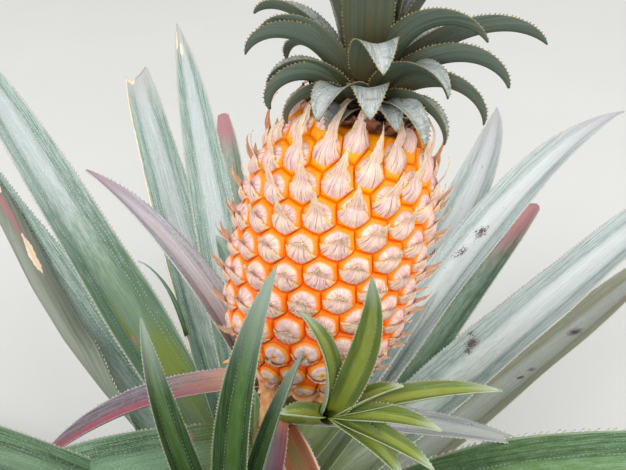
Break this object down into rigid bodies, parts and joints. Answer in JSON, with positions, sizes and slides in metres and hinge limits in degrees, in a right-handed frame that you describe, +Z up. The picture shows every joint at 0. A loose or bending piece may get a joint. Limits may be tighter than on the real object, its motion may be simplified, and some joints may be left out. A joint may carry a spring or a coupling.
{
  "type": "fruiting pineapple plant",
  "caption": "Pineapple plant with a ripe fruit and leafy crown on a short stalk above a rosette of long spiny-edged leaves, with young slips under the fruit.",
  "frame": {"origin": "centre of the flat cut under the main stem, at ground level", "axes": "+Z up; +Y away from the side that the fruit leans back from, as the picture sees it; +X to the right"},
  "size_m": [1.0738, 1.1106, 0.6388],
  "materials": {
    "stem": "matte",
    "stalk": "matte",
    "fruit": "satin",
    "crown_leaf": "matte",
    "slip_leaf": "satin",
    "stalk_leaf": "matte",
    "rosette_leaf": "matte"
  },
  "bodies": {
    "root": {"stem": "stem", "fruit": "fruit", "stalk": "stalk", "crown": "crown_leaf", "slip_front_left": "slip_leaf", "slip_front_right": "slip_leaf", "slip_back_right": "slip_leaf", "slip_back_left": "slip_leaf", "stalk_leaf_left_long": "stalk_leaf", "stalk_leaf_left_red": "stalk_leaf", "stalk_leaf_left_wide": "stalk_leaf", "stalk_leaf_right_purple": "stalk_leaf", "stalk_leaf_front_red": "stalk_leaf", "stalk_leaf_front_brown": "stalk_leaf", "stalk_leaf_back_1": "stalk_leaf", "stalk_leaf_back_2": "stalk_leaf", "leaf_left_upper": "rosette_leaf", "leaf_left_rolled": "rosette_leaf", "leaf_back_left_cut": "rosette_leaf", "leaf_back_left_tall": "rosette_leaf", "leaf_back_left_dry": "rosette_leaf", "leaf_back_right_tall": "rosette_leaf", "leaf_right_upper": "rosette_leaf", "leaf_right_dry": "rosette_leaf", "leaf_right_middle": "rosette_leaf", "leaf_right_lower": "rosette_leaf", "leaf_front_right_wide": "rosette_leaf", "leaf_front_left_high": "rosette_leaf", "leaf_front_1": "rosette_leaf", "leaf_front_2": "rosette_leaf", "leaf_front_3": "rosette_leaf", "leaf_front_4": "rosette_leaf", "leaf_front_5": "rosette_leaf", "leaf_front_6": "rosette_leaf", "leaf_front_7": "rosette_leaf", "leaf_front_8": "rosette_leaf", "leaf_front_9": "rosette_leaf", "leaf_front_10": "rosette_leaf", "leaf_front_11": "rosette_leaf", "leaf_low_front_1": "rosette_leaf", "leaf_low_front_2": "rosette_leaf", "leaf_low_front_3": "rosette_leaf", "leaf_low_right_1": "rosette_leaf", "leaf_low_right_2": "rosette_leaf", "leaf_low_back_1": "rosette_leaf", "leaf_low_back_2": "rosette_leaf", "leaf_low_back_3": "rosette_leaf", "leaf_low_left_1": "rosette_leaf", "leaf_low_left_2": "rosette_leaf", "leaf_low_left_3": "rosette_leaf", "leaf_back_middle_1": "rosette_leaf", "leaf_back_middle_2": "rosette_leaf"}
  },
  "joints": []
}
